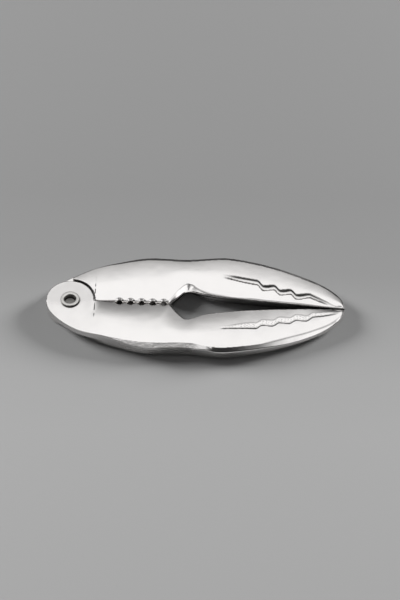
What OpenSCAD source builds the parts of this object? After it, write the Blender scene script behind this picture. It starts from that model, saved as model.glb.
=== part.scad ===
// Claw-shaped lobster cracker: two identical cast levers, lapped at the hinge and
// held by one semi-tubular rivet. The hinge axis is Z and the claw tips lie along +X.
// It lies on the flat head of the rivet and on the crowns of the levers, at Z = 0.

/* [Hinge] */
// Radius of the round hinge head on each lever
head_r = 13.6; // [12.5:0.1:15]
// Thickness of the two lapped heads together
head_t = 7.2; // [6:0.1:9]
// Gap between the lapped faces
lap_gap = 0.15; // [0.1:0.01:0.3]
// Gap between a head and the arc of the other lever around it
arc_gap = 0.7; // [0.4:0.05:1]
// Chamfer around the face of a head
head_chamfer = 0.5; // [0.2:0.1:0.8]
// Distance past the hinge axis at which the arc ends in a shoulder
shoulder_x = 0.9; // [0:0.1:3]

/* [Rivet] */
// Radius of the shank
rivet_r = 4; // [3.5:0.1:5]
// Radius of the hollow in the rolled end
hollow_r = 3.1; // [2.2:0.1:3.3]
// Depth of the hollow below the ring's crest
hollow_depth = 4; // [3:0.1:6]
// Radius of the bead that the end is rolled into
bead_r = 1.1; // [0.9:0.05:1.4]
// Radius of the flat head underneath
rivet_head_r = 5.6; // [5:0.1:8]
// Height of the flat head underneath
rivet_head_h = 0.9; // [0.6:0.05:1.4]
// Rounding around the flat head
rivet_head_edge = 0.4; // [0.2:0.05:0.5]
// Running clearance between the shank and the lever that turns on it
rivet_clearance = 0.06; // [0.03:0.01:0.1]
// Play between the flat head and the lever that turns above it
rivet_play = 0.05; // [0.03:0.01:0.1]

/* [Claw outline] */
// Distance from the hinge axis to the tips
tip_x = 154.2; // [145:0.2:165]
// Half width of the claw beside the hinge head
flank_w = 24.1; // [23:0.1:27]
// How late the outline swings away from the hinge head
flank_swing = 3.7; // [3.2:0.1:5]
// How much narrower the half with the arc is than the half with the head, beside the hinge
arc_inset = 3.8; // [1:0.1:4.2]
// Distance from the hinge axis at which both halves are equally wide
inset_end_x = 22; // [18:1:32]
// Distance from the hinge axis to the broadest part of the palm
palm_x = 47; // [42:0.5:52]
// Half width of the palm
palm_w = 32.2; // [30:0.1:35]
// Distance from the hinge axis to the waist
waist_x = 63.5; // [60:0.5:67]
// Half width of the waist
waist_w = 31.6; // [30:0.1:34]
// Distance from the hinge axis to the broadest part of the fingers
finger_x = 87; // [82:0.5:92]
// Half width across the fingers
finger_w = 33.5; // [31:0.1:36]
// Fullness of the curve from the fingers to the tips
finger_fullness = 1.34; // [1.1:0.02:1.6]

/* [Jaws] */
// Gap between the closed jaws
jaw_gap = 0.3; // [0.2:0.05:0.6]
// Distance from the hinge axis to the end of the jaws
jaw_end_x = 56.4; // [55.5:0.1:60]
// Slope of the straight flank from the end of the jaws into the mouth
mouth_slope = 1.12; // [0.9:0.02:1.3]
// Distance from the hinge axis to the corner of the mouth
mouth_x = 66; // [64:0.5:68]
// Extra half gap between the fingers at the corner of the mouth
mouth_extra = 4.5; // [3:0.1:6]
// Length over which that extra gap runs out towards the fingers
mouth_run = 8.2; // [5:0.1:10]
// Rounding of the corner of the mouth
mouth_round = 5; // [2:0.1:6]
// Half gap between the fingers at their broadest part
finger_gap = 4.7; // [2:0.1:6]
// How fast the gap between the fingers closes towards the tips
gap_closing = 1.3; // [1:0.05:1.6]

/* [Teeth] */
// Number of notches in each jaw
notches = 5; // [3:1:5]
// Distance from the hinge axis to the first notch
notch_x = 27.9; // [24:0.1:28.5]
// Spacing of the notches
notch_pitch = 6.25; // [5.6:0.05:6.3]
// Half width of a notch at the jaw face
notch_half_w = 1.9; // [1.4:0.1:2.4]
// Depth of a notch, which is part of a round hole
notch_d = 1.6; // [1:0.1:2.2]

/* [Cross-section] */
// Thickness of a lever at the tip
tip_t = 5; // [4:0.1:6.4]
// Thickness of the inner edge at the tip
tip_edge_t = 3.2; // [2:0.1:4]
// Thickness of the biting edge of the jaws
jaw_edge_t = 3.6; // [2.4:0.1:5]
// Thickness of the edge of the mouth
mouth_edge_t = 2.2; // [1.6:0.1:4]
// Thickness of the inner edge of the fingers
finger_edge_t = 5; // [3:0.1:6]
// Thickness of the jaws inside their rounded edge
jaw_rim_t = 6.3; // [5.4:0.1:7.4]
// Thickness of the rim of the mouth inside its chamfer
mouth_rim_t = 7.5; // [6:0.1:8.4]
// Thickness of the fingers inside their rounded edge
finger_rim_t = 7.2; // [6.2:0.1:8.4]
// Thickness of the tip inside its rounded edge
tip_rim_t = 3.6; // [3:0.1:4.4]
// Width of the rounded edge of the jaws
jaw_rim_w = 1.5; // [0.8:0.1:2.4]
// Width of the chamfer around the mouth
mouth_rim_w = 3; // [2:0.1:4]
// Width of the rounded edge of the fingers, where it is broadest
finger_rim_w = 3.7; // [2:0.1:4.4]
// Distance from the hinge axis at which that edge has become slight
thin_rim_x = 108; // [100:0.5:114]
// Width of that edge from there to the tips
thin_rim_w = 0.8; // [0.5:0.1:1.6]
// Thickness of the fingers there, inside that edge
thin_rim_t = 6.8; // [6:0.1:7.6]
// Thickness of the inner edge of the fingers there
thin_edge_t = 6.2; // [4:0.1:6.6]
// Lean of the inner wall away from the parting plane
wall_draft = 0.12; // [0.05:0.01:0.2]
// Distance from the hinge axis at which the jaws have the thickness of their biting edge
edge_x = 28; // [22:0.2:32]
// Distance from the hinge axis at which the face of the head has risen to the crown
crown_x = 24; // [20:0.2:30]
// Width of the slope from the rim of the inner edge up to the crown
slope_w = 17; // [10:0.5:20]
// Width of the outer part of the upper face, which falls away from the crown
face_dome_w = 10; // [6:0.5:14]
// Fall of that part of the upper face
face_dome_fall = 0.5; // [0.2:0.05:0.8]
// Width of the outer part of the under face, which falls away from the crown
back_dome_w = 13; // [8:0.5:15]
// Fall of that part of the under face
back_dome_fall = 0.75; // [0.4:0.05:1.2]

/* [Outer bevel] */
// Distance from the hinge axis at which the bevel has its full width
bevel_x = 46; // [36:0.5:50]
// Width of the upper bevel along the palm
palm_bevel_w = 3; // [2:0.1:4]
// Height of the upper bevel along the palm
palm_bevel_h = 1.9; // [1.2:0.1:2.4]
// Width of the upper bevel along the fingers
finger_bevel_w = 2; // [1.2:0.1:3]
// Height of the upper bevel along the fingers
finger_bevel_h = 2.5; // [1.4:0.1:2.7]
// Distance from the hinge axis at which the upper bevel starts to flatten towards the tips
tip_bevel_x = 110.5; // [106:0.5:114]
// Length over which it flattens
tip_bevel_run = 12.4; // [10:0.2:20]
// Width of the upper bevel at the tips
tip_bevel_w = 2.5; // [1.2:0.1:3]
// Height of the upper bevel at the tips
tip_bevel_h = 2.6; // [0.6:0.1:2.8]
// Width of the under bevel
back_bevel_w = 2.1; // [1.4:0.1:3.6]
// Height of the under bevel
back_bevel_h = 0.9; // [0.6:0.1:1.6]
// Width of the under bevel at the tips
back_tip_bevel_w = 2.4; // [1.2:0.1:3]
// Height of the under bevel at the tips
back_tip_bevel_h = 2; // [0.5:0.1:2.4]
// Width of the broken edge around the hinge head
head_edge_w = 0.8; // [0.4:0.1:1.4]
// Height of the broken edge around the hinge head
head_edge_h = 0.5; // [0.3:0.1:1]

/* [Claw grooves] */
// Distance from the hinge axis to the pointed root of the grooves
groove_x = 84; // [82:0.5:88]
// Width of the grooves
groove_w = 3.5; // [2.4:0.1:4]
// Width of the grooves at the tips
groove_tip_w = 1.8; // [1.2:0.1:2.4]
// Depth of the grooves
groove_d = 0.85; // [0.3:0.05:1]
// Distance of the upper-face groove's outer wall from the jaw line, at its root
face_groove_y = 18; // [17:0.1:19]
// Fall of the upper-face groove towards the jaw line before its steps, per unit of length
face_groove_fall = 0.045; // [0.03:0.005:0.08]
// Height of each step of the upper-face groove
face_step = 1.85; // [1.4:0.05:2]
// Distance of the under-face groove's outer wall from the jaw line, at its root
back_groove_y = 20.7; // [20:0.1:21.5]
// Fall of the under-face groove towards the jaw line before its steps, per unit of length
back_groove_fall = 0.165; // [0.13:0.005:0.18]
// Height of each step of the under-face groove
back_step = 2.45; // [2:0.05:2.6]
// Number of steps in each groove
groove_steps = 4; // [2:1:4]
// Distance from the hinge axis to the middle of the first step
step_x = 106.5; // [104:0.1:108]
// Spacing of the steps
step_pitch = 9.4; // [8.4:0.1:10]
// Length of one step
step_run = 5; // [3:0.1:6]
// Fall of the grooves between the steps, per unit of length
step_fall = 0.045; // [0:0.005:0.08]
// Fall of the grooves after the last step, per unit of length
tail_fall = 0.3; // [0.2:0.01:0.34]

/* [Hidden] */
$fn = 96;

metal = [0.78, 0.78, 0.79];
rivet_metal = [0.68, 0.67, 0.65];

// Heights above the parting plane, which lies at mid_z above the table
head_h = head_t / 2;
mid_z = head_h + rivet_play + rivet_head_h;
crown_h = mid_z;
tip_h = tip_t / 2;
jaw_h = jaw_edge_t / 2;
mouth_h = mouth_edge_t / 2;
finger_h = finger_edge_t / 2;
tip_edge_h = tip_edge_t / 2;
jaw_rim_h = jaw_rim_t / 2;
mouth_rim_h = mouth_rim_t / 2;
finger_rim_h = finger_rim_t / 2;
tip_rim_h = tip_rim_t / 2;
thin_rim_h = thin_rim_t / 2;
thin_edge_h = thin_edge_t / 2;
cut_h = 2 * crown_h;

arc_r = head_r + arc_gap;
// The loft is larger than the head by head_spare, and the head is turned down to size
head_spare = 0.4;
trim_w = 4;
trim_lift = 1;
flank_x = head_r + head_spare;
flank_r = norm([flank_x, flank_w]);
flank_turn = 180 - atan2(flank_w, flank_x);
// Direction in which the outline of the head runs into the palm
flank_rate = (flank_r - head_r) * flank_swing / flank_turn * 180 / PI;
flank_slope = (flank_rate * flank_w - flank_r * flank_x) / (flank_rate * flank_x + flank_r * flank_w);
finger_l = tip_x - finger_x;

// Stations of the loft
head_start = 0.04;
head_steps = 12;
palm_step = 2.8;
mouth_step = 1.1;
finger_step = 1.45;
// The last part of the finger is a nose, stepped by angle
nose_l = 9;
nose_x = tip_x - nose_l;
nose_steps = 7;
nose_end = 84;
nose_power = 4;
nose_least = 0.02;
// Length at each end of the fingers' root over which the upper bevel steepens
bevel_turn = 6;
// Roundness of the inner edge: 1 is a flat chamfer, 2 is rounded over
rim_round = 2;
mouth_rim_round = 1.1;
// Most of a section's width that the slope, the dome, the bevel and a groove may take
slope_share = 0.5;
dome_share = 0.4;
bevel_share = 0.12;
groove_share = 0.24;
// Most of the way to the groove that the rim may take, and most of a face's height that the bevel may take
rim_share = 0.6;
bevel_most = 0.85;
// Place of the middle of a face before its groove starts, and the limits of the groove's inner edge
mid_share = 0.45;
groove_from = 0.15;
groove_to = 0.6;
// Width of a groove at its root, as a share of its full width
root_share = 0.25;
// Places across a section: the rim, the slope inside the groove, the groove and the dome outside it
rim_places = [0.4, 1];
slope_places = [0.3, 0.65];
groove_places = [0.37, 0.74];
dome_places = [0.35, 0.65, 0.85];
bevel_place = 0.5;

function clamp(v) = max(0, min(1, v));
function smooth(v) = let (t = clamp(v)) t * t * (3 - 2 * t);
function ramp(x, from, to) = smooth((x - from) / (to - from));
function mix(a, b, t) = a + (b - a) * t;
function total(v) = v * [for (i = v) 1];
function rounded_min(a, b, size) = min(a, b) - pow(max(0, size - abs(a - b)), 2) / (4 * size);

// Smooth curve through points of [x, value], level at each of them
function stations(x, points) =
    points[0][1] + total([for (i = [1 : len(points) - 1])
        (points[i][1] - points[i - 1][1]) * ramp(x, points[i - 1][0], points[i][0])]);

// Cubic between two ends, each given as [x, y, slope]
function cubic(a, b, x) =
    let (l = b[0] - a[0], t = (x - a[0]) / l)
    a[1] * (2 * t * t * t - 3 * t * t + 1)
    + l * a[2] * (t * t * t - 2 * t * t + t)
    + b[1] * (3 * t * t - 2 * t * t * t)
    + l * b[2] * (t * t * t - t * t);

// Half width of the claw, from the hinge head to the tip
function outer_w(x) =
    x < palm_x ? cubic([flank_x, flank_w, flank_slope], [palm_x, palm_w, 0], x)
    : x < waist_x ? cubic([palm_x, palm_w, 0], [waist_x, waist_w, 0], x)
    : x < finger_x ? cubic([waist_x, waist_w, 0], [finger_x, finger_w, 0], x)
    : finger_w * sqrt(max(0, 1 - pow((x - finger_x) / finger_l, finger_fullness)));

// Distance of the inner edge from the jaw line: jaws, mouth and gap between the fingers
function finger_gap_at(x) =
    jaw_gap / 2 + (finger_gap - jaw_gap / 2) * pow(max(0, tip_x - x) / finger_l, gap_closing);
function inner_w(x) =
    x <= jaw_end_x ? jaw_gap / 2
    : rounded_min(
        jaw_gap / 2 + mouth_slope * (x - jaw_end_x),
        finger_gap_at(x) + mouth_extra * exp((mouth_x - x) / mouth_run),
        mouth_round
    );
// Length across a section for each unit of length square to the inner edge
sample = 0.05;
function across(x) = norm([1, (inner_w(x + sample) - inner_w(x - sample)) / (2 * sample)]);

// Ends of a section in plan: inner edge, outer edge of the lap's half, outer edge of the other half
function along(from, to, d) = from + (to - from) * d / norm(to - from);
function inset(x) = arc_inset * ramp(x, -flank_x, 0) * (1 - ramp(x, 0, inset_end_x));
function with_inset(inner, outer) = [inner, outer, along(outer, inner, inset(outer[0]))];
function flank_point(turn) =
    let (r = head_r + (flank_r - head_r) * pow(turn / flank_turn, flank_swing))
    [-r * cos(turn), -r * sin(turn)];
function head_ends(t) =
    with_inset(flank_x * [cos(180 * (1 - t)), sin(180 * (1 - t))], flank_point(flank_turn * t));
function ends_at(x) = with_inset([x, -inner_w(x)], [x, -outer_w(x)]);

function spaced(from, to, step) =
    let (n = ceil((to - from) / step)) [for (i = [1 : n]) mix(from, to, i / n)];
jaw_start_x = flank_x + head_spare;
mouth_end_x = mouth_x + mouth_run;
plan = concat(
    [for (i = [0 : head_steps]) head_ends(mix(head_start, 1, i / head_steps))],
    [for (x = concat(
        [jaw_start_x],
        spaced(jaw_start_x, jaw_end_x, palm_step),
        spaced(jaw_end_x, mouth_end_x, mouth_step),
        spaced(mouth_end_x, nose_x, finger_step),
        [for (i = [1 : nose_steps]) nose_x + nose_l * sin(nose_end * i / nose_steps)]
    )) ends_at(x)]
);

// Heights of the crown, of the rim and of the inner edge; the lap's half starts from the face of the head
function from_head(x, start) = ramp(x, head_r / 2, start);
function nose(x) = sqrt(max(nose_least, 1 - pow(max(0, x - nose_x) / nose_l, nose_power)));
function crown_at(x, lap) =
    (mix(lap ? head_h : crown_h, crown_h, from_head(x, crown_x))
    + (tip_h - crown_h) * ramp(x, finger_x, tip_x + nose_l)) * nose(x);
function along_edge(x, jaw, mouth, finger, thin, tip) =
    stations(x, [[head_r / 2, head_h], [edge_x, jaw], [jaw_end_x, jaw], [mouth_x, mouth],
        [finger_x, finger], [thin_rim_x, thin], [tip_x, tip]]) * nose(x);
function rim_h(x, crown) =
    min(crown, along_edge(x, jaw_rim_h, mouth_rim_h, finger_rim_h, thin_rim_h, tip_rim_h));
function inner_h(x) = along_edge(x, jaw_h, mouth_h, finger_h, thin_edge_h, tip_edge_h);
rim_widths = [[head_r / 2, head_chamfer], [edge_x, jaw_rim_w], [jaw_end_x, jaw_rim_w],
    [mouth_x, mouth_rim_w], [finger_x, finger_rim_w], [thin_rim_x, thin_rim_w]];
rim_rounds = [[jaw_end_x, rim_round], [mouth_x, mouth_rim_round], [finger_x, rim_round]];

// Width and height of the bevel along the outer edge
function bevel(x, lap) =
    let (
        palm = ramp(x, flank_x, bevel_x),
        finger = ramp(x, waist_x + bevel_turn, finger_x - bevel_turn),
        tip = ramp(x, tip_bevel_x, tip_bevel_x + tip_bevel_run),
        start = [head_edge_w, head_edge_h]
    )
    (lap
        ? mix(mix(mix(start, [palm_bevel_w, palm_bevel_h], palm), [finger_bevel_w, finger_bevel_h], finger),
            [tip_bevel_w, tip_bevel_h], tip)
        : mix(mix(start, [back_bevel_w, back_bevel_h], palm), [back_tip_bevel_w, back_tip_bevel_h], tip)
    ) * nose(x);

// Height of the face of a section that is w wide, at distances d from its lip and from_edge from
// its outer edge
function face_h(x, d, from_edge, w, rim, lap) =
    let (
        crown = crown_at(x, lap),
        rim_top = rim_h(x, crown),
        slope_l = min(mix(head_chamfer, slope_w, from_head(x, crown_x)) * across(x), slope_share * w),
        dome_l = min(lap ? face_dome_w : back_dome_w, dome_share * w),
        fall = (lap ? face_dome_fall : back_dome_fall) * from_head(x, crown_x) * crown / crown_h,
        edge = bevel(x, lap),
        bevel_l = min(edge[0], bevel_share * w),
        drop = min(edge[1], bevel_most * (crown - fall)),
        slope = max(0, 1 - max(0, d - rim) / slope_l),
        round_over = pow(max(0, 1 - d / rim), stations(x, rim_rounds)),
        dome = max(0, 1 - max(from_edge, bevel_l) / dome_l) / (1 - bevel_l / dome_l)
    )
    crown - (crown - rim_top) * slope * slope - (rim_top - inner_h(x)) * round_over
    - fall * dome * dome - drop * max(0, 1 - from_edge / bevel_l);

// A stepped groove: the distance of its outer wall from the jaw line, its width, and how far it has
// run in from its ends; a line is given as [distance at the root, fall before the steps, step]
groove_lead = 11;
groove_margin = 2.2;
groove_end_x = tip_x - groove_margin;
last_step_x = step_x + (groove_steps - 1) * step_pitch;
face_line = [face_groove_y, face_groove_fall, face_step];
back_line = [back_groove_y, back_groove_fall, back_step];
function groove_y(x, line) =
    line[0] - line[1] * (min(x, step_x) - groove_x)
    - step_fall * max(0, min(x, last_step_x) - step_x) - tail_fall * max(0, x - last_step_x)
    - line[2] * total([for (i = [0 : groove_steps - 1]) let (mid = step_x + i * step_pitch)
        ramp(x, mid - step_run / 2, mid + step_run / 2)]);
function groove_run(x) =
    ramp(x, groove_x, groove_x + groove_lead) * (1 - ramp(x, groove_end_x - groove_lead, groove_end_x));
function groove_width(x) =
    mix(groove_w, groove_tip_w, ramp(x, last_step_x - step_pitch, groove_end_x))
    * mix(root_share, 1, ramp(x, groove_x, groove_x + groove_lead));

// Points of one face of a section, from the inner edge to the outer edge, as [d, height]
function face_points(x, gap, w, lap, line) =
    let (
        run = groove_run(x),
        width = min(groove_width(x), groove_share * w),
        wall = mix(mid_share * w, groove_y(x, line) - gap, ramp(x, groove_x - groove_lead, groove_x)),
        g0 = max(groove_from * w, min(groove_to * w, wall - width)),
        g1 = g0 + width,
        lip = wall_draft * inner_h(x),
        rim = min(stations(x, rim_widths) * across(x), rim_share * (g0 - lip)),
        top = w - min(bevel(x, lap)[0], bevel_share * w),
        places = concat(
            [lip],
            [for (p = rim_places) lip + rim * p],
            [for (p = slope_places) mix(lip + rim, g0, p)],
            [g0],
            [for (p = groove_places) mix(g0, g1, p)],
            [g1],
            [for (p = dome_places) mix(g1, top, p)],
            [top, mix(top, w, bevel_place), w]
        )
    )
    [for (d = places) [d, face_h(x, d - lip, w - d, w, rim, lap) - (d > g0 && d < g1 ? groove_d * run : 0)]];

// One section, as a ring of points that starts at the inner edge on the parting plane
function ring(ends) =
    let (
        inner = ends[0],
        outer = ends[1],
        other = ends[2],
        gap = -inner[1],
        top = face_points(outer[0], gap, norm(outer - inner), true, face_line),
        under = face_points(other[0], gap, norm(other - inner), false, back_line),
        count = len(under)
    )
    concat(
        [[inner[0], inner[1], 0]],
        [for (p = top) let (q = along(inner, outer, p[0])) [q[0], q[1], p[1]]],
        [[outer[0], outer[1], 0]],
        [for (i = [1 : count]) let (p = under[count - i], q = along(inner, other, p[0])) [q[0], q[1], -p[1]]]
    );

rings = [for (ends = plan) ring(ends)];
ring_n = len(rings[0]);
last_ring = (len(rings) - 1) * ring_n;

// The whole casting before the hinge and the teeth are cut
module claw_loft() {
    polyhedron(
        points = [for (r = rings) each r],
        faces = concat(
            [for (i = [0 : len(rings) - 2], j = [0 : ring_n - 1]) let (a = i * ring_n, k = (j + 1) % ring_n)
                each [[a + j, a + k, a + ring_n + k], [a + j, a + ring_n + k, a + ring_n + j]]],
            [[for (j = [1 : ring_n]) ring_n - j]],
            [[for (j = [0 : ring_n - 1]) last_ring + j]]
        ),
        convexity = 8
    );
}

// Turns the far half of the head down to its radius, with a chamfer
module head_trim() {
    rotate_extrude(angle = 180)
        polygon([
            [head_r, -cut_h],
            [head_r, head_h - head_chamfer],
            [head_r - head_chamfer - trim_lift, head_h + trim_lift],
            [head_r + trim_w, head_h + trim_lift],
            [head_r + trim_w, -cut_h]
        ]);
}

// Clears the lower lap for the other lever's head
module lap_cut() {
    translate([0, 0, -cut_h])
        cylinder(r = arc_r, h = cut_h + lap_gap / 2);
    translate([-2 * head_r, -2 * flank_w, -cut_h])
        cube([2 * head_r + shoulder_x, 4 * flank_w, cut_h + lap_gap / 2]);
}

// A notch: part of a round hole through the jaw
module notch() {
    notch_r = (notch_half_w * notch_half_w + notch_d * notch_d) / (2 * notch_d);
    translate([0, notch_r - notch_d, -cut_h])
        cylinder(r = notch_r, h = 2 * cut_h);
}

// One casting, with its head as the upper lap, about the hinge axis and the parting plane
module lever(bore_r) {
    difference() {
        claw_loft();
        head_trim();
        lap_cut();
        translate([0, 0, -cut_h])
            cylinder(r = bore_r, h = 2 * cut_h);
        for (i = [0 : notches - 1])
            translate([notch_x + i * notch_pitch, -jaw_gap / 2, 0])
                notch();
    }
}

module lower_lever() {
    color(metal)
        translate([0, 0, mid_z])
            lever(rivet_r);
}

module upper_lever() {
    color(metal)
        translate([0, 0, mid_z])
            rotate([180, 0, 0])
                lever(rivet_r + rivet_clearance);
}

// The rivet: flat head, shank, hollow end and the bead rolled over the upper lap
module hinge_rivet() {
    face_z = mid_z + head_h;
    crest_z = face_z + bead_r;
    bead_x = hollow_r + bead_r;
    color(rivet_metal)
        rotate_extrude()
            difference() {
                union() {
                    square([rivet_head_r - rivet_head_edge, rivet_head_h]);
                    translate([0, rivet_head_edge])
                        square([rivet_head_r, rivet_head_h - rivet_head_edge]);
                    translate([rivet_head_r - rivet_head_edge, rivet_head_edge])
                        circle(r = rivet_head_edge);
                    square([rivet_r, face_z]);
                    intersection() {
                        translate([bead_x, face_z])
                            circle(r = bead_r);
                        translate([0, face_z])
                            square([bead_x + bead_r, bead_r]);
                    }
                    translate([0, face_z])
                        square([bead_x, bead_r]);
                }
                translate([0, crest_z - hollow_depth])
                    square([hollow_r, hollow_depth]);
                difference() {
                    translate([0, face_z])
                        square([bead_x, bead_r]);
                    translate([bead_x, face_z])
                        circle(r = bead_r);
                }
            }
}

lower_lever();
upper_lever();
hinge_rivet();
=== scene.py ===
"""Looks of a claw-shaped lobster cracker: two polished castings on a rolled rivet."""

import math

import bpy
import numpy as np
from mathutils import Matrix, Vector


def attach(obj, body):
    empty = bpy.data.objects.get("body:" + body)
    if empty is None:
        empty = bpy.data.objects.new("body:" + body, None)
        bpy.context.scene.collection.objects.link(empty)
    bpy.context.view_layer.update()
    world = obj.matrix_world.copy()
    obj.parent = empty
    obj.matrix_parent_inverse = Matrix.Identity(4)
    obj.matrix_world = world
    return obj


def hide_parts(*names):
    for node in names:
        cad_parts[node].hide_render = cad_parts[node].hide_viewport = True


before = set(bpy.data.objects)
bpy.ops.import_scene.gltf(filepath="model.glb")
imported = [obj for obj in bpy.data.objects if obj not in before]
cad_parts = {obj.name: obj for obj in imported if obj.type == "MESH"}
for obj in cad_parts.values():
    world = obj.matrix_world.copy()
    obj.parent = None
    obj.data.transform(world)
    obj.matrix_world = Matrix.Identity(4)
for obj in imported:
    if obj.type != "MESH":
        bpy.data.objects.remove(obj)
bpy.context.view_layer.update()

MM = 0.001
TINY = 1e-6

# Sizes of a casting in millimetres, from the hinge axis and the parting plane between its two faces
MID_Z = 4.55
TIP_X = 155.0

# Hinge head: half as thick as the casting, with an arc and a shoulder cut for the other casting's head
HEAD_R = 13.6
HEAD_H = 3.6
LAP_GAP = 0.15
ARC_GAP = 0.7
SHOULDER_X = 0.9
BORE_R = 4.1

# Outer edge in plan: it swings out from the head, and passes the flank, the palm, the waist and the finger
FLANK_X = 14.0
FLANK_W = 24.1
FLANK_SWING = 3.7
PALM = (47.0, 32.2)
WAIST = (63.5, 31.6)
FINGER_X = 87.0
FINGER_W = 33.5
FULLNESS = 1.34
FINGER_L = TIP_X - FINGER_X
FLANK_R = math.hypot(FLANK_X, FLANK_W)
FLANK_TURN = math.pi - math.atan2(FLANK_W, FLANK_X)

# The back is narrower than the face beside the head
ARC_INSET = 3.4
INSET_START_X = 0.0
INSET_END_X = 22.0
INSET_DEPTH = 3.0

# Inner edge in plan: the jaw, the straight flank of the mouth, and the finger that closes towards the tip
JAW_GAP = 0.3
JAW_END_X = 56.4
MOUTH_X = 66.0
MOUTH_DROP = 1.12
MOUTH_EXTRA = 4.5
MOUTH_RUN = 8.2
FINGER_GAP = 4.7
GAP_CLOSING = 1.3

# Tooth notches in the jaw, and how far their edges are chamfered
NOTCHES = 5
NOTCH_X = 27.9
NOTCH_PITCH = 6.25
NOTCH_HALF_W = 1.9
NOTCH_D = 1.6
NOTCH_DRAFT = 0.1
NOTCH_CHAMFER = 0.9
NOTCH_CLOSE = 0.45

# Heights of the faces, and the slope that falls from the crown to the jaw
CROWN_H = 4.55
CROWN_START_X = 4.0
CROWN_X = 23.0
TIP_H = 2.5
NOSE_L = 4.2
NOSE_POWER = 4
NOSE_LEAST = 0.02
SLOPE_START_R = 11.0
SLOPE_END_R = 17.5
SLOPE_START_X = (9.0, 15.0)
SLOPE_W = 17.0
WALL_DRAFT = 0.12

# Most of the casting's width that a bevel or a rim takes, and a dome or a slope
BAND_SHARE = 0.3
HALF_SHARE = 0.5

# Roundings
MOUTH_ROUND = 4.5
CHAMFER_ROUND = 1.0
CHAMFER_SPREAD = 1.6
JAW_END_ROUND = 1.0
HEAD_ROUND = 0.4
EDGE_ROUND = 0.4
CUT_ROUND = 0.25
TIP_ROUND = 0.8

# Smooth curves along the casting, as (distance from the hinge axis, value)
EDGE_H = [
    (13, 3.15), (33, 1.8), (54, 1.9), (60, 1.1), (67, 1.0), (80, 2.1), (100, 2.9), (112, 3.05),
    (125, 2.75), (154, 1.55),
]
BACK_EDGE_DROP = [(90, 0.0), (110, 0.9), (130, 1.1), (154, 0.3)]
RIM_H = [
    (13, 3.25), (33, 3.15), (56, 3.2), (66, 3.75), (82, 3.6), (100, 3.6), (112, 3.3), (125, 2.95), (154, 1.7),
]
FACE_RIM_W = [(13, 0.5), (33, 1.5), (54, 1.5), (62, 2.0), (80, 1.6), (103, 1.2), (114, 0.8), (150, 0.6)]
BACK_RIM_W = [
    (13, 0.5), (33, 1.5), (54, 1.5), (62, 3.0), (80, 3.9), (90, 3.6), (103, 2.6), (125, 1.9), (150, 0.9),
]
RIM_POWER = [(50, 2.0), (62, 1.1), (68, 1.1), (76, 2.2)]
FACE_BEVEL_W = [
    (14, 0.2), (46, 3.0), (70, 3.0), (80, 1.9), (106, 1.8), (126, 2.6), (136, 2.3), (150, 1.2), (154, 0.6),
]
FACE_BEVEL_SLOPE = [(69, 0.62), (74, 0.5), (77, 0.5), (83, 1.3), (104, 1.3), (130, 1.02)]
BACK_BEVEL_W = [(12, 0.7), (44, 2.4), (112, 2.2), (130, 2.4), (148, 1.5), (155, 0.5)]
BACK_BEVEL_SLOPE = [(100, 0.455), (140, 0.5)]
FACE_FALL = [(8, 0.0), (32, 0.55), (66, 0.5), (80, 0.2)]
BACK_FALL = [(0, 0.4), (30, 0.65), (80, 0.6), (140, 0.45)]
FACE_DOME_W = 10.0
BACK_DOME_W = 13.0

# Stepped grooves along the fingers: a steep outer wall, a floor and a gentle inner wall
GROOVE_X = 84.0
GROOVE_LEAD = 11.0
GROOVE_END_X = 153.0
GROOVE_FADE = 18.0
GROOVE_FLOOR_RISE = 0.05
GROOVE_WIDEN_X = 103.0
GROOVE_TIP_SHARE = 0.5
OUTER_WALL_SHARE = 0.3
INNER_WALL_SHARE = 0.5
STEP_X = 107.0
STEP_PITCH = 9.4
STEP_RUN = 3.8
TAIL_X = 135.2
DEPTH_WAVE = 0.25
# Outer line of each groove: its first place, its slopes before, between and after the steps, the steps and
# their sag. Then the groove's width, the share of it at the start, its depth and the runs of its walls
FACE_GROOVE = {
    "start": 18.8, "lead": 0.045, "flat": 0.03, "tail": 0.24, "steps": 4, "step": 2.1, "sag": 0.25,
    "width": 4.5, "narrow": 0.35, "depth": 0.75, "outer_run": 0.8, "inner_run": 2.3,
}
BACK_GROOVE = {
    "start": 21.0, "lead": 0.165, "flat": -0.05, "tail": 0.54, "steps": 3, "step": 3.0, "sag": 0.45,
    "width": 4.2, "narrow": 0.75, "depth": 1.1, "outer_run": 1.2, "inner_run": 1.4,
}

# Grid around a casting, placed so that no two sheets of the surface share an edge
GRID_STEP = 0.4
GRID_LOW = (-16.2, -36.0, -6.0)
GRID_HIGH = (157.0, 16.0, 6.0)

# Sizes of the rivet in millimetres; its bead is flattened, and lifts off the lap on one side
RIVET_R = 4.0
RIVET_HEAD_R = 5.6
RIVET_HEAD_H = 0.9
RIVET_HEAD_EDGE = 0.4
RIVET_HEAD_FLAT_R = 2.5
RIVET_CORNER = 0.1
HOLLOW_R = 3.1
HOLLOW_DEPTH = 4.0
# Corner of the hollow's floor, as (inside the wall, above the floor), and the height of its middle
HOLLOW_CORNER = [(0.0, 0.5), (0.15, 0.15), (0.6, 0.0)]
HOLLOW_MIDDLE_H = 0.1
BEAD_R = 5.3
BEAD_H = 1.1
BEAD_OUTER_ROUND = 0.35
BEAD_INNER_ROUND = 0.8
BEAD_TILT = 0.18
BEAD_TILT_TURN = math.radians(50)
RIVET_SIDES = 96
SHARP_EDGE = math.radians(40)


def smooth(t):
    t = np.clip(t, 0, 1)
    return t * t * (3 - 2 * t)


def ramp(x, start, end):
    return smooth((x - start) / (end - start))


def between(x, start, end):
    """1 in a stretch that fades in over the start and out over the end."""
    return ramp(x, *start) * (1 - ramp(x, *end))


def hump(distance, width):
    """1 on a line, fading with the distance from it."""
    return np.exp(-((distance / width) ** 2))


def mix(a, b, t):
    return a + (b - a) * t


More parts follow.
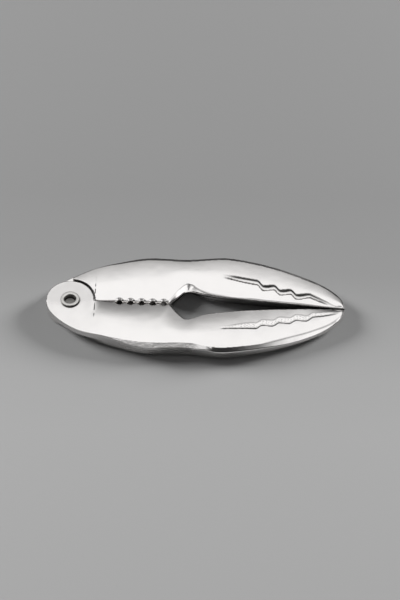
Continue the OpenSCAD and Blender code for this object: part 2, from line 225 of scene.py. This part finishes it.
def stations(x, points):
    """A smooth curve through the points, level at each of them."""
    value = points[0][1]
    for (x0, a), (x1, b) in zip(points, points[1:]):
        value = value + (b - a) * ramp(x, x0, x1)
    return value


def rounded_max(a, b, size):
    """The larger of two distances, with the edge between them rounded."""
    return np.maximum(a, b) + np.maximum(size - np.abs(a - b), 0) ** 2 / (4 * size)


def rounded_min(a, b, size):
    return -rounded_max(-a, -b, size)


def slope_of(curve, x, reach=0.05):
    return (curve(x + reach) - curve(x - reach)) / (2 * reach)


def outer_w(x):
    rate = (FLANK_R - HEAD_R) * FLANK_SWING / FLANK_TURN
    slope = (rate * FLANK_W - FLANK_R * FLANK_X) / (rate * FLANK_X + FLANK_R * FLANK_W)
    length = PALM[0] - FLANK_X
    t = np.clip((x - FLANK_X) / length, 0, 1)
    start = (FLANK_W - PALM[1]) * (1 - smooth(t)) + length * slope * t * (1 - t) ** 2
    return start + stations(x, [PALM, WAIST, (FINGER_X, FINGER_W)])


def finger_w(x):
    closing = np.clip((TIP_X - x) / FINGER_L, 0, None) ** GAP_CLOSING
    mouth = MOUTH_EXTRA * np.exp((MOUTH_X - x) / MOUTH_RUN)
    return JAW_GAP / 2 + (FINGER_GAP - JAW_GAP / 2) * closing + mouth


def beyond_outline(x, y):
    """Distance outside the claw's outline in plan."""
    turn = np.clip(np.arctan2(-y, -x), 0, math.pi) / FLANK_TURN
    reach = HEAD_R + (FLANK_R - HEAD_R) * turn**FLANK_SWING
    growth = (FLANK_R - HEAD_R) * FLANK_SWING / FLANK_TURN * turn ** (FLANK_SWING - 1)
    head = (np.hypot(x, y) - reach) / np.hypot(1, growth / reach)
    palm = (-y - outer_w(x)) / np.hypot(1, slope_of(outer_w, x))
    u = np.clip((x - FINGER_X) / FINGER_L, TINY, None)
    v = y / FINGER_W
    size = np.sqrt(u**FULLNESS + v * v)
    rate = np.hypot(FULLNESS * u ** (FULLNESS - 1) / (2 * FINGER_L), v / FINGER_W)
    finger = (size - 1) * size / (rate + TINY)
    return np.where(x < FLANK_X, head, np.where(x < FINGER_X, palm, finger))


def beyond_jaw(x, y, corner, spread=0.0):
    """Distance outside the inner edge in plan: the jaw, the mouth's straight flank and the finger."""
    jaw = y + JAW_GAP / 2
    flank = (jaw + MOUTH_DROP * (x - JAW_END_X)) / math.hypot(1, MOUTH_DROP)
    finger = (y + finger_w(x)) / np.hypot(1, slope_of(finger_w, x))
    corner = corner + spread * np.maximum(-np.minimum(flank, finger), 0)
    return rounded_max(jaw, rounded_min(flank, finger, corner), JAW_END_ROUND)


def inset(x):
    return ARC_INSET * ramp(x, -FLANK_X, 0) * (1 - ramp(x, INSET_START_X, INSET_END_X))


def nose(x):
    along = np.clip(x - TIP_X + NOSE_L, 0, NOSE_L) / NOSE_L
    return np.sqrt(np.clip(1 - along**NOSE_POWER, NOSE_LEAST, 1))


def groove_line(x, groove):
    flat = np.clip(x, STEP_X, TAIL_X) - STEP_X
    fall = groove["lead"] * (np.minimum(x, STEP_X) - GROOVE_X) + groove["flat"] * flat
    fall = fall + groove["tail"] * np.clip(x - TAIL_X, 0, None)
    for i in range(groove["steps"]):
        start = STEP_X + i * STEP_PITCH - STEP_RUN / 2
        fall = fall + groove["step"] * ramp(x, start, start + STEP_RUN)
        fall = fall + groove["sag"] * np.sin(math.pi * np.clip((x - start) / STEP_PITCH, 0, 1)) ** 2
    return groove["start"] - fall


def groove_width(x, groove):
    start = mix(groove["narrow"], 1, ramp(x, GROOVE_X, GROOVE_WIDEN_X))
    return groove["width"] * start * mix(1, GROOVE_TIP_SHARE, ramp(x, TAIL_X - STEP_PITCH, GROOVE_END_X))


def groove_length(x):
    return between(x, (GROOVE_X, GROOVE_X + GROOVE_LEAD), (GROOVE_END_X - GROOVE_FADE, GROOVE_END_X))


def groove_depth(x, y, groove):
    """Depth of a stepped groove in millimetres."""
    inward = groove_line(x, groove) + y
    width = groove_width(x, groove)
    outer_run = np.minimum(groove["outer_run"], OUTER_WALL_SHARE * width)
    inner_run = np.minimum(groove["inner_run"], INNER_WALL_SHARE * width)
    floor_end = width - inner_run
    outer = np.clip(inward / outer_run, 0, 1)
    rise = GROOVE_FLOOR_RISE * np.clip((inward - outer_run) / (floor_end - outer_run), 0, 1)
    inner = 1 - np.clip((inward - floor_end) / inner_run, 0, 1)
    wave = np.cos(2 * math.pi * (np.clip(x, STEP_X, TAIL_X) - STEP_X) / STEP_PITCH)
    depth = groove["depth"] * (1 - DEPTH_WAVE * wave)
    return depth * outer * (1 - rise) * inner * groove_length(x)


def face_height(x, y, into, edge, lap):
    """Height of a face above the parting plane; the lap's face is the one with the hinge head's top."""
    crown = mix(HEAD_H, CROWN_H, ramp(x, CROWN_START_X, CROWN_X)) if lap else CROWN_H
    crown = crown + (TIP_H - CROWN_H) * ramp(x, FINGER_X, TIP_X + NOSE_L)
    width = into + edge
    bevel_w = np.minimum(stations(x, FACE_BEVEL_W if lap else BACK_BEVEL_W), BAND_SHARE * width)
    fall = stations(x, FACE_FALL if lap else BACK_FALL)
    dome_w = np.minimum(FACE_DOME_W if lap else BACK_DOME_W, HALF_SHARE * width)
    rim_w = np.minimum(stations(x, FACE_RIM_W if lap else BACK_RIM_W), BAND_SHARE * width)
    slope_w = np.minimum(SLOPE_W, HALF_SHARE * width)
    jaw = ramp(np.hypot(x, y), SLOPE_START_R, SLOPE_END_R) * ramp(x, *SLOPE_START_X)
    rim_h = np.minimum(stations(x, RIM_H), crown)
    edge_h = stations(x, EDGE_H) - (0.0 if lap else stations(x, BACK_EDGE_DROP))
    slope = np.clip(1 - (into - rim_w) / slope_w, 0, 1) ** 2
    rim = np.clip(1 - into / rim_w, 0, 1) ** stations(x, RIM_POWER)
    dome = np.clip(1 - (edge - bevel_w) / dome_w, 0, 1) ** 2
    bevel = np.clip(1 - edge / bevel_w, 0, 1)
    height = crown - jaw * ((crown - rim_h) * slope + (rim_h - edge_h) * rim) - fall * dome
    height = height - bevel_w * stations(x, FACE_BEVEL_SLOPE if lap else BACK_BEVEL_SLOPE) * bevel
    return height * nose(x) - groove_depth(x, y, FACE_GROOVE if lap else BACK_GROOVE)


def beyond_notches(x, y, z):
    """Distance outside the nearest tooth notch, in the jaw's plan."""
    last = NOTCH_X + (NOTCHES - 1) * NOTCH_PITCH
    centre = NOTCH_X + NOTCH_PITCH * np.round((np.clip(x, NOTCH_X, last) - NOTCH_X) / NOTCH_PITCH)
    across = (x - centre) / NOTCH_HALF_W
    down = (y + JAW_GAP / 2) / NOTCH_D
    size = np.sqrt(across**2 + down**2 + TINY)
    rate = np.hypot(across / NOTCH_HALF_W, down / NOTCH_D) / size
    return (size - 1) / rate - NOTCH_DRAFT * np.abs(z)


def lever_field(x, y, z):
    """Distance outside a casting, which is negative in its metal."""
    radius = np.hypot(x, y)
    beyond_head = radius - HEAD_R
    outline = beyond_outline(x, y)
    back = beyond_outline(x, y - inset(x))
    jaw = rounded_min(beyond_jaw(x, y, MOUTH_ROUND), beyond_head, HEAD_ROUND)
    chamfer = rounded_min(beyond_jaw(x, y, CHAMFER_ROUND, CHAMFER_SPREAD), beyond_head, HEAD_ROUND)
    top = z - face_height(x, y, -jaw, -outline, True)
    under = -z - face_height(x, y, -chamfer, -back, False)
    wall = mix(outline, back, np.clip(-z / INSET_DEPTH, 0, 1))
    inner = jaw + WALL_DRAFT * np.abs(z) * ramp(x, HEAD_R, 2 * HEAD_R)
    side = rounded_max(wall, inner, TIP_ROUND)
    body = rounded_max(rounded_max(top, under, EDGE_ROUND), side, EDGE_ROUND)
    cut = np.maximum(z - LAP_GAP / 2, np.minimum(beyond_head - ARC_GAP, x - SHOULDER_X))
    body = rounded_max(body, -cut, CUT_ROUND)
    body = rounded_max(body, BORE_R - radius, CUT_ROUND)
    near_face = NOTCH_CHAMFER - NOTCH_CLOSE + np.clip(np.maximum(top, under), -NOTCH_CHAMFER, 0)
    return rounded_max(body, near_face - beyond_notches(x, y, z), CUT_ROUND)


def surface_nets(values, origin, step):
    """Vertices and quads of the surface where grid values change sign."""
    cells = np.array(values.shape)
    units = np.eye(3, dtype=int)
    quads, places, owners = [], [], []
    for axis in range(3):
        unit, u, v = units[axis], units[(axis + 1) % 3], units[(axis + 2) % 3]
        start = np.argwhere(np.diff((values < 0).astype(np.int8), axis=axis))
        low = values[tuple(start.T)]
        high = values[tuple((start + unit).T)]
        place = start + (low / (low - high))[:, None] * unit
        ring = [np.ravel_multi_index((start - shift).T, cells) for shift in (0 * u, u, u + v, v)]
        quad = np.stack(ring, 1)
        leaving = low < 0
        quad[~leaving] = quad[~leaving][:, ::-1]
        quads.append(quad)
        places += [place] * 4
        owners += ring
    quads, places, owners = np.concatenate(quads), np.concatenate(places), np.concatenate(owners)
    names, numbers = np.unique(owners, return_inverse=True)
    counts = np.bincount(numbers)
    points = np.stack([np.bincount(numbers, places[:, i]) / counts for i in range(3)], 1)
    return origin + points * step, np.searchsorted(names, quads)


def gradient(field, p, reach=0.02):
    shifts = np.eye(3) * reach
    return np.stack([field(*(p + s).T) - field(*(p - s).T) for s in shifts], 1) / (2 * reach)


def settle(field, p, rounds=4, most=0.2, least_slope=0.05):
    """Moves points onto the surface of a field, and gives their normals."""
    for _ in range(rounds):
        g = gradient(field, p)
        move = field(*p.T)[:, None] * g / np.maximum((g * g).sum(1, keepdims=True), least_slope)
        p = p - np.clip(move, -most, most)
    g = gradient(field, p)
    return p, g / np.linalg.norm(g, axis=1, keepdims=True)


def casting():
    axes = [np.arange(low, high, GRID_STEP) for low, high in zip(GRID_LOW, GRID_HIGH)]
    x, y, z = np.meshgrid(*axes, indexing="ij", sparse=True)
    points, quads = surface_nets(lever_field(x, y, z), np.array(GRID_LOW), GRID_STEP)
    return *settle(lever_field, points), quads


def new_piece(name, points, faces):
    """A smooth mesh in the scene, from points in millimetres."""
    mesh = bpy.data.meshes.new(name)
    mesh.from_pydata((points * MM).tolist(), [], faces)
    mesh.polygons.foreach_set("use_smooth", np.ones(len(mesh.polygons), bool))
    piece = bpy.data.objects.new(name, mesh)
    bpy.context.scene.collection.objects.link(piece)
    return piece


def add_masks(piece, masks):
    for name, values in masks.items():
        mask = piece.data.attributes.new(name, "FLOAT", "POINT")
        mask.data.foreach_set("value", values.astype(np.float32))


# Dark marks, in millimetres: painted shade at the grooves, the hinge, the bevel's edges and the inner walls,
# and dark pits in the grooves. Those that follow a line have its place, its width and its darkness, and those
# that run along the casting have the stretches over which they fade in and out
FOOT_PLACE = 0.7
FOOT_W = 0.55
FAR_LINE_W = 0.4
FAR_LINE_DARK = 0.55
PIT_DARK = 0.5
PIT_START = 1.0
PIT_LEVEL = 0.7
PIT_WAVES = ((9.1, 2.3), (-3.9, 7.7))
PIT_WOBBLE = (1.3, 2.1)
BRINK_W = 0.4
BRINK_DARK = 0.5
BRINK_FADES = ((108, 116), (148, 153))
CREASE_PLACE = 0.35
CREASE_W = 0.4
CREASE_DARK = 0.8
CREASE_FADES = ((44, 56), (68, 73))
# Painted shadow beside the bead, by how far it is lifted, and painted shade in the arc gap around the head
LIFT_MEAN = 0.1
LIFT_SWING = 1.1
LIFT_TURN = math.radians(60)
BEAD_SHADE = (0.3, 0.9)
GAP_SHADE = (0.15, 0.5)
GAP_START_X = (0, 2)
GAP_TOP = (0, 0.3)
GAP_FOOT = (-0.2, 0.4)
# Painted shade on the inner wall of the mouth and the finger, by the depth from the wall and below its upper
# edge
WALL_DARK = 0.9
WALL_DEPTH = (0.3, 0.7)
WALL_START_X = (54, 58)
WALL_EDGE = 0.6
UNDER_EDGE = (1.0, 1.8)
WALL_LEAST = 0.25
WALL_FULL_X = (70, 92)
# The bevel that was ground by hand, as shares of its width, and the flat turned face around the rivet
GROUND_BAND = (0.8, 1.1)
GROUND_FADES = ((20, 36), (64, 76))
# How much darker the ground bevel is made
GROUND_DARKENING = 0.12
DISC_R = (11, 16)
DISC_Y = (-10, 2)


def pitted(x, y):
    """True in the specks of an uneven pattern."""
    (first_x, first_y), (second_x, second_y) = PIT_WAVES
    size, rate = PIT_WOBBLE
    first = np.sin(first_x * x + first_y * y)
    second = np.sin(second_y * y + second_x * x + size * np.sin(rate * x))
    return first * second > PIT_LEVEL


def groove_shade_and_pits(x, y, top):
    """Painted shade at the foot of each groove's outer wall and, on the face, along the groove's far line;
    and dark pits in the groove.
    """
    inward = np.where(top, groove_line(x, FACE_GROOVE), groove_line(x, BACK_GROOVE)) + y
    past_groove = inward - groove_width(x, FACE_GROOVE)
    foot = hump(inward - FOOT_PLACE, FOOT_W)
    far_line_shade = FAR_LINE_DARK * hump(past_groove, FAR_LINE_W) * top
    pits = PIT_DARK * pitted(x, y) * (past_groove < 0) * (inward > PIT_START) * top
    return np.maximum(np.maximum(foot, far_line_shade), pits) * groove_length(x)


def hinge_shadow(x, y, z, radius, top):
    """Painted shadow on the lap beside the lifted side of the bead, and painted shade at the foot of the gap
    around the head.
    """
    lifted = np.clip(LIFT_MEAN + LIFT_SWING * np.cos(np.arctan2(y, x) + LIFT_TURN), 0, 1)
    bead = (1 - ramp(radius - BEAD_R, *BEAD_SHADE)) * lifted * top
    gap = (1 - ramp(np.abs(radius - HEAD_R - ARC_GAP), *GAP_SHADE)) * ramp(x, *GAP_START_X)
    gap = gap * ramp(-z, *GAP_TOP) * (1 - ramp(-z - HEAD_H, *GAP_FOOT))
    return np.maximum(bead, gap)


def bevel_shade_lines(x, outline, bevel_w, top):
    """Painted dark lines of shade at the bevel's inner edge along the finger, and near its outer edge below
    the mouth.
    """
    brink = BRINK_DARK * hump(outline - bevel_w, BRINK_W) * between(x, *BRINK_FADES)
    crease = CREASE_DARK * hump(outline - CREASE_PLACE, CREASE_W) * between(x, *CREASE_FADES)
    return np.maximum(brink, crease) * top


def wall_shade(x, y, z, top):
    """Painted shade on the inner wall of the mouth, below its edge, and on all of the finger's inner wall."""
    below = stations(x, EDGE_H) - np.where(top, 0, stations(x, BACK_EDGE_DROP)) - np.abs(z)
    wall = (1 - ramp(-beyond_jaw(x, y, MOUTH_ROUND), *WALL_DEPTH)) * ramp(x, *WALL_START_X)
    wall = wall * ramp(below, 0, WALL_EDGE)
    under_edge = 1 - ramp(below, *UNDER_EDGE)
    return WALL_DARK * wall * np.maximum(under_edge, mix(WALL_LEAST, 1, ramp(x, *WALL_FULL_X)))


def lever_masks(p):
    """Where the metal is turned flat or ground by hand, and where shade is painted dark, with the grooves'
    pits.
    """
    x, y, z = p.T
    radius = np.hypot(x, y)
    outline = -beyond_outline(x, y)
    top = z > 0
    bevel_w = np.where(top, stations(x, FACE_BEVEL_W), stations(x, BACK_BEVEL_W))
    ground = (1 - ramp(outline / bevel_w, *GROUND_BAND)) * between(x, *GROUND_FADES) * top
    disc = (1 - ramp(radius, *DISC_R)) * ramp(y, *DISC_Y) * top
    marks = [
        groove_shade_and_pits(x, y, top),
        hinge_shadow(x, y, z, radius, top),
        bevel_shade_lines(x, outline, bevel_w, top),
        wall_shade(x, y, z, top),
        GROUND_DARKENING * ground,
    ]
    return {"ground": ground, "disc": disc, "painted_shade_and_pits": np.max(marks, axis=0)}


def levers():
    """Both levers from one casting; the far one is turned over about its length."""
    points, normals, quads = casting()
    masks = lever_masks(points)
    lift = np.array([0, 0, MID_Z])
    as_cast = np.array([1, 1, 1])
    turned_over = np.array([1, -1, -1])
    made = []
    for name, side, body in (("lower_claw", as_cast, "near_lever"), ("upper_claw", turned_over, "far_lever")):
        piece = new_piece(name, points * side + lift, quads.tolist())
        piece.data.normals_split_custom_set_from_vertices((normals * side).tolist())
        add_masks(piece, masks)
        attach(piece, body)
        made.append(piece)
    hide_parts("lower_lever")
    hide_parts("upper_lever")
    return made


# Levels of the rivet, and where shade is painted on it: darker deeper down the hollow's wall, a set share on
# its floor, and in the gap under the bead
LAP_FACE_Z = MID_Z + HEAD_H
BEAD_CREST_Z = LAP_FACE_Z + BEAD_H
HOLLOW_FLOOR_Z = BEAD_CREST_Z - HOLLOW_DEPTH
TILT_START = 0.05
FLOOR_DARK = 0.6
FLOOR_REACH = 0.3
HOLLOW_REACH = 0.1
HOLLOW_LIGHT = 0.3
HOLLOW_RUN = 2.0
NECK_W = 0.15
NECK_H = 0.6


def arc(centre, radius, start, end, count):
    turns = np.radians(np.linspace(start, end, count))
    return [(centre[0] + radius * math.cos(t), centre[1] + radius * math.sin(t)) for t in turns]


def rivet_profile():
    """Flat head, shank, and an end rolled into a bead around its hollow, as (radius, height)."""
    head = (RIVET_HEAD_R - RIVET_HEAD_EDGE, RIVET_HEAD_EDGE)
    outer = (BEAD_R - BEAD_OUTER_ROUND, BEAD_CREST_Z - BEAD_OUTER_ROUND)
    inner = (HOLLOW_R + BEAD_INNER_ROUND, BEAD_CREST_Z - BEAD_INNER_ROUND)
    profile = [(0.0, 0.0), (RIVET_HEAD_FLAT_R, 0.0)]
    profile += arc(head, RIVET_HEAD_EDGE, -90, 0, 6)
    profile += [(RIVET_HEAD_R, RIVET_HEAD_H - RIVET_CORNER), (RIVET_HEAD_R - RIVET_CORNER, RIVET_HEAD_H)]
    profile += [(RIVET_R, RIVET_HEAD_H), (RIVET_R, LAP_FACE_Z)]
    profile += [(BEAD_R - RIVET_CORNER, LAP_FACE_Z), (BEAD_R, LAP_FACE_Z + RIVET_CORNER)]
    profile += arc(outer, BEAD_OUTER_ROUND, 0, 90, 10)
    profile += arc(inner, BEAD_INNER_ROUND, 90, 180, 12)
    profile += [(HOLLOW_R - inside, HOLLOW_FLOOR_Z + above) for inside, above in HOLLOW_CORNER]
    return profile + [(0.0, HOLLOW_FLOOR_Z + HOLLOW_MIDDLE_H)]


def turned(profile):
    """Points and faces of a profile turned about the hinge axis, with the bead tilted."""
    turns = np.linspace(0, 2 * math.pi, RIVET_SIDES, endpoint=False)
    circle = np.stack([np.cos(turns), np.sin(turns)], 1)
    rings = []
    for r, z in profile[1:-1]:
        tilt = BEAD_TILT * r / HOLLOW_R * (z > LAP_FACE_Z + TILT_START)
        rings.append(np.column_stack([circle * r, z + tilt * np.cos(turns + BEAD_TILT_TURN)]))
    poles = np.array([[0, 0, profile[0][1]], [0, 0, profile[-1][1]]])
    last = (len(rings) - 1) * RIVET_SIDES
    bottom = last + RIVET_SIDES
    top = bottom + 1
    faces = []
    for k in range(RIVET_SIDES):
        after = (k + 1) % RIVET_SIDES
        for row in range(0, last, RIVET_SIDES):
            faces.append((row + k, row + after, row + RIVET_SIDES + after, row + RIVET_SIDES + k))
        faces.append((bottom, after, k))
        faces.append((top, last + k, last + after))
    return np.concatenate(rings + [poles]), faces


def rivet_masks(p):
    # Painted shade: darker deeper down the hollow's wall, a set share on its floor, and dark at the neck
    # under the bead
    radius, z = np.hypot(p[:, 0], p[:, 1]), p[:, 2]
    above_head = z > RIVET_HEAD_H
    depth = np.clip((BEAD_CREST_Z - HOLLOW_LIGHT - z) / HOLLOW_RUN, 0, 1)
    depth = np.where(z < HOLLOW_FLOOR_Z + FLOOR_REACH, FLOOR_DARK, depth)
    inside = (radius < HOLLOW_R + HOLLOW_REACH) & above_head
    neck = (radius > BEAD_R - NECK_W) & above_head & (z < LAP_FACE_Z + NECK_H)
    return {"hollow": np.maximum(inside * depth, neck)}


def rivet():
    points, faces = turned(rivet_profile())
    piece = new_piece("rolled_rivet", points, faces)
    piece.data.set_sharp_from_angle(angle=SHARP_EDGE)
    add_masks(piece, rivet_masks(points))
    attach(piece, "near_lever")
    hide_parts("hinge_rivet")
    return piece


class Nodes:
    """Short way to write a node tree."""

    def __init__(self, tree):
        self.tree = tree
        tree.nodes.clear()

    def add(self, kind, inputs=None, **settings):
        node = self.tree.nodes.new(kind)
        for key, value in settings.items():
            setattr(node, key, value)
        for key, value in (inputs or {}).items():
            if isinstance(value, bpy.types.NodeSocket):
                self.tree.links.new(value, node.inputs[key])
            else:
                node.inputs[key].default_value = value
        return node

    def math(self, operation, a, b=0.0):
        return self.add("ShaderNodeMath", {0: a, 1: b}, operation=operation).outputs[0]

    def plus_share(self, value, mask, share):
        return self.math("ADD", value, self.math("MULTIPLY", mask, share))

    def place(self):
        return self.add("ShaderNodeTexCoord").outputs["Object"]

    def noise(self, place, scale, detail, rough=0.55):
        inputs = {"Vector": place, "Scale": scale, "Detail": detail, "Roughness": rough}
        return self.add("ShaderNodeTexNoise", inputs).outputs["Fac"]

    def span(self, value, low, high, to_low, to_high):
        return self.add("ShaderNodeMapRange", {0: value, 1: low, 2: high, 3: to_low, 4: to_high}).outputs[0]

    def curve(self, value, points):
        """Grey that follows points of (place from 0 to 1, tone)."""
        node = self.add("ShaderNodeValToRGB", {0: value})
        stops = node.color_ramp.elements
        while len(stops) < len(points):
            stops.new(1.0)
        for stop, (place, tone) in zip(stops, points):
            stop.position = place
            stop.color = (tone, tone, tone, 1)
        return node.outputs[0]

    def blend(self, share, a, b):
        return self.add("ShaderNodeMix", {0: share, 6: a, 7: b}, data_type="RGBA").outputs[2]

    def bump(self, height, strength, distance, normal=None):
        inputs = {"Height": height, "Strength": strength, "Distance": distance}
        if normal is not None:
            inputs["Normal"] = normal
        return self.add("ShaderNodeBump", inputs).outputs[0]

    def mask(self, name):
        return self.add("ShaderNodeAttribute", attribute_name=name).outputs["Fac"]

    def surface(self, inputs):
        shader = self.add("ShaderNodeBsdfPrincipled", inputs)
        self.add("ShaderNodeOutputMaterial", {"Surface": shader.outputs[0]})


def new_material(name):
    material = bpy.data.materials.new(name)
    material.use_nodes = True
    return material, Nodes(material.node_tree)


# Tones of the metals; the casting's dark tone is painted shade and its pits, and the rivet's hollow tone is
# painted shade
POLISHED = (0.925, 0.905, 0.893, 1)
PAINTED_SHADE_AND_PITS = (0.05, 0.048, 0.046, 1)
STEEL_DULL = (0.74, 0.72, 0.69, 1)
STEEL_BRIGHT = (0.86, 0.85, 0.83, 1)
PAINTED_HOLLOW_SHADE = (0.04, 0.037, 0.034, 1)
# Roughness of the polish, and what is added where it is ground, turned, or painted dark as shade and pits
POLISH_ROUGH = (0.11, 0.19)
GROUND_ROUGH = 0.12
DISC_ROUGH = 0.17
PAINTED_SHADE_AND_PITS_ROUGH = 0.25
STEEL_ROUGH = (0.2, 0.34)
HOLLOW_ROUGH = 0.3
# Values of a cloudy noise between which the roughness goes from its lowest to its highest
CLOUD = (0.3, 0.7)
# Strength of the fine grain on polish and of what the grinding adds to it, and of the file marks
GRAIN_STRENGTH = 0.03
GROUND_GRAIN = 0.1
FILED_STRENGTH = 0.5


def lever_material():
    material, n = new_material("polished_casting")
    place = n.place()
    cloud = n.noise(place, scale=160, detail=4)
    grain = n.noise(place, scale=2600, detail=3, rough=0.6)
    swirl = n.noise(place, scale=70, detail=2)
    flecks = n.noise(place, scale=520, detail=2, rough=0.5)
    ground, painted_shade_and_pits, disc = n.mask("ground"), n.mask("painted_shade_and_pits"), n.mask("disc")
    rough = n.span(cloud, *CLOUD, *POLISH_ROUGH)
    rough = n.plus_share(rough, ground, GROUND_ROUGH)
    rough = n.plus_share(rough, disc, DISC_ROUGH)
    rough = n.plus_share(rough, painted_shade_and_pits, PAINTED_SHADE_AND_PITS_ROUGH)
    strength = n.math("ADD", n.math("MULTIPLY", ground, GROUND_GRAIN), GRAIN_STRENGTH)
    normal = n.bump(grain, strength, distance=0.0002)
    normal = n.bump(swirl, strength=0.12, distance=0.001, normal=normal)
    filed = n.math("MULTIPLY", ground, FILED_STRENGTH)
    normal = n.bump(flecks, filed, distance=0.0008, normal=normal)
    # The metal darkens to painted shade, and at pits, where that mask is high
    tone = n.blend(painted_shade_and_pits, POLISHED, PAINTED_SHADE_AND_PITS)
    n.surface({"Base Color": tone, "Metallic": 1.0, "Roughness": rough, "Normal": normal})
    return material


def rivet_material():
    material, n = new_material("rolled_steel")
    place = n.place()
    cloud = n.noise(place, scale=500, detail=4)
    grain = n.noise(place, scale=3000, detail=3)
    hollow = n.mask("hollow")
    rough = n.plus_share(n.span(cloud, *CLOUD, *STEEL_ROUGH), hollow, HOLLOW_ROUGH)
    # The steel darkens to painted shade in the hollow and at the neck under the bead
    tone = n.blend(hollow, n.blend(cloud, STEEL_DULL, STEEL_BRIGHT), PAINTED_HOLLOW_SHADE)
    normal = n.bump(grain, strength=0.12, distance=0.0002)
    n.surface({"Base Color": tone, "Metallic": 1.0, "Roughness": rough, "Normal": normal})
    return material


# Tones of the floor's paper, painted darker towards the far side where the light falls off, as (metres
# towards the far side, tone), and half of its side in metres
FLOOR_TONES_AND_FALLOFF = [
    (-0.3, 0.47), (-0.085, 0.43), (-0.045, 0.405), (-0.005, 0.35), (0.03, 0.3), (0.086, 0.275), (0.7, 0.26),
]
FLOOR_HALF = 4.0


def floor_material():
    material, n = new_material("paper_with_painted_falloff")
    place = n.place()
    far = n.add("ShaderNodeSeparateXYZ", {0: place}).outputs[1]
    start, end = FLOOR_TONES_AND_FALLOFF[0][0], FLOOR_TONES_AND_FALLOFF[-1][0]
    steps = [((metres - start) / (end - start), tone) for metres, tone in FLOOR_TONES_AND_FALLOFF]
    tone = n.curve(n.span(far, start, end, 0.0, 1.0), steps)
    normal = n.bump(n.noise(place, scale=900, detail=3), strength=0.1, distance=0.0003)
    n.surface({"Base Color": tone, "Roughness": 0.85, "Specular IOR Level": 0.2, "Normal": normal})
    return material


def floor():
    mesh = bpy.data.meshes.new("floor")
    corners = [(-1, -1), (1, -1), (1, 1), (-1, 1)]
    mesh.from_pydata([(x * FLOOR_HALF, y * FLOOR_HALF, 0) for x, y in corners], [], [(0, 1, 2, 3)])
    piece = bpy.data.objects.new("floor", mesh)
    bpy.context.scene.collection.objects.link(piece)
    piece.data.materials.append(floor_material())


# Studio brightness by height in degrees, from the far horizon over the top to the near horizon
STUDIO = [
    (0, 0.02), (12, 0.05), (22, 0.12), (33, 0.26), (39, 0.38), (42, 0.5), (46, 0.71), (50, 0.93), (54, 1.0),
    (60, 1.02), (98, 1.02), (105, 0.8), (113, 0.45), (122, 0.28), (134, 0.1), (146, 0.03), (180, 0.02),
]
# Where the studio starts and stops to fade to the left and right, as sines of the angle, and the share left
FADE_START = 0.45
FADE_END = 0.85
FADE_SHARE = 0.35
# Share of the studio's light that falls on the floor; the camera and the metal see all of it
AMBIENT = 0.1
# Soft lights on the camera's side, in degrees: bearing to the right and half width, then height and half of
# its extent. Each is full over a share of both, and then fades
NEAR_LIGHTS = [(60.0, 44.0, 31.0, 14.0), (-44.0, 17.0, 36.0, 9.0), (-8.0, 12.0, 41.0, 9.0)]
FULL_SHARE = 0.45


def studio():
    world = bpy.data.worlds.new("studio")
    bpy.context.scene.world = world
    world.use_nodes = True
    n = Nodes(world.node_tree)
    way = n.add("ShaderNodeSeparateXYZ", {0: n.add("ShaderNodeTexCoord").outputs["Generated"]})
    x, y, z = way.outputs
    height = n.math("DIVIDE", n.math("ARCTAN2", z, y), math.pi)
    arch = n.curve(height, [(degrees / 180, value) for degrees, value in STUDIO])
    fade = n.span(n.math("ABSOLUTE", x), FADE_START, FADE_END, 1.0, FADE_SHARE)
    glow = n.math("MULTIPLY", arch, fade)
    bearing = n.math("ARCTAN2", x, n.math("MULTIPLY", y, -1.0))
    rise = n.math("ARCSINE", z)
    for light in NEAR_LIGHTS:
        middle, half, up, half_up = [math.radians(v) for v in light]
        sides = []
        for value, centre, reach in ((bearing, middle, half), (rise, up, half_up)):
            away = n.math("ABSOLUTE", n.math("SUBTRACT", value, centre))
            sides.append(n.span(away, reach * FULL_SHARE, reach, 1.0, 0.0))
        glow = n.math("ADD", glow, n.math("MULTIPLY", *sides))
    path = n.add("ShaderNodeLightPath").outputs
    shown = n.math("ADD", path["Is Camera Ray"], path["Is Glossy Ray"])
    shown = n.math("ADD", shown, path["Is Transmission Ray"])
    strength = n.span(shown, 0.0, 1.0, AMBIENT, 1.0)
    background = n.add("ShaderNodeBackground", {"Color": glow, "Strength": strength})
    n.add("ShaderNodeOutputWorld", {"Surface": background.outputs[0]})


# The camera's view: turned and raised about the middle of the picture, in degrees and metres
VIEW_TURN = 1.93
VIEW_RISE = 52.0
VIEW_DISTANCE = 2.0
VIEW_MIDDLE = Vector((0.07325, 0.00225, 0.00798))
VIEW_HEIGHT = 0.3382
# Soft lamps around the part: bearing to the left of the far side and height in degrees, width in metres
# and power
LAMPS = {
    "left_lamp": (65.0, 23.0, 0.6, 28.0),
    "right_lamp": (-60.0, 19.0, 0.5, 32.0),
    "front_lamp": (170.0, 40.0, 0.8, 0.7),
}
LAMP_DISTANCE = 1.5


def aim(name, data, turn, rise, distance):
    """Places a camera or a lamp that looks at the middle of the view, turned to the left of the far side."""
    turn, rise = math.radians(turn), math.radians(rise)
    out = Vector((-math.sin(turn) * math.cos(rise), math.cos(turn) * math.cos(rise), math.sin(rise)))
    placed = bpy.data.objects.new(name, data)
    placed.location = VIEW_MIDDLE + out * distance
    placed.rotation_euler = (-out).to_track_quat("-Z", "Y").to_euler()
    bpy.context.scene.collection.objects.link(placed)
    return placed


def camera():
    data = bpy.data.cameras.new("camera")
    data.sensor_fit = "VERTICAL"
    data.sensor_height = 36.0
    data.lens = data.sensor_height * VIEW_DISTANCE / VIEW_HEIGHT
    data.clip_end = 50
    bpy.context.scene.camera = aim("camera", data, 180 + VIEW_TURN, VIEW_RISE, VIEW_DISTANCE)


def lamps():
    """Round lamps that light the floor and throw the part's shadow; the metal shows only the studio."""
    for name, (bearing, rise, width, power) in LAMPS.items():
        data = bpy.data.lights.new(name, "AREA")
        data.shape = "DISK"
        data.size = width
        data.energy = power
        aim(name, data, bearing, rise, LAMP_DISTANCE).visible_glossy = False


camera()
studio()
lamps()
floor()
metal = lever_material()
for claw in levers():
    claw.data.materials.append(metal)
rivet().data.materials.append(rivet_material())
bpy.context.scene.view_settings.view_transform = "Standard"

bpy.context.view_layer.update()
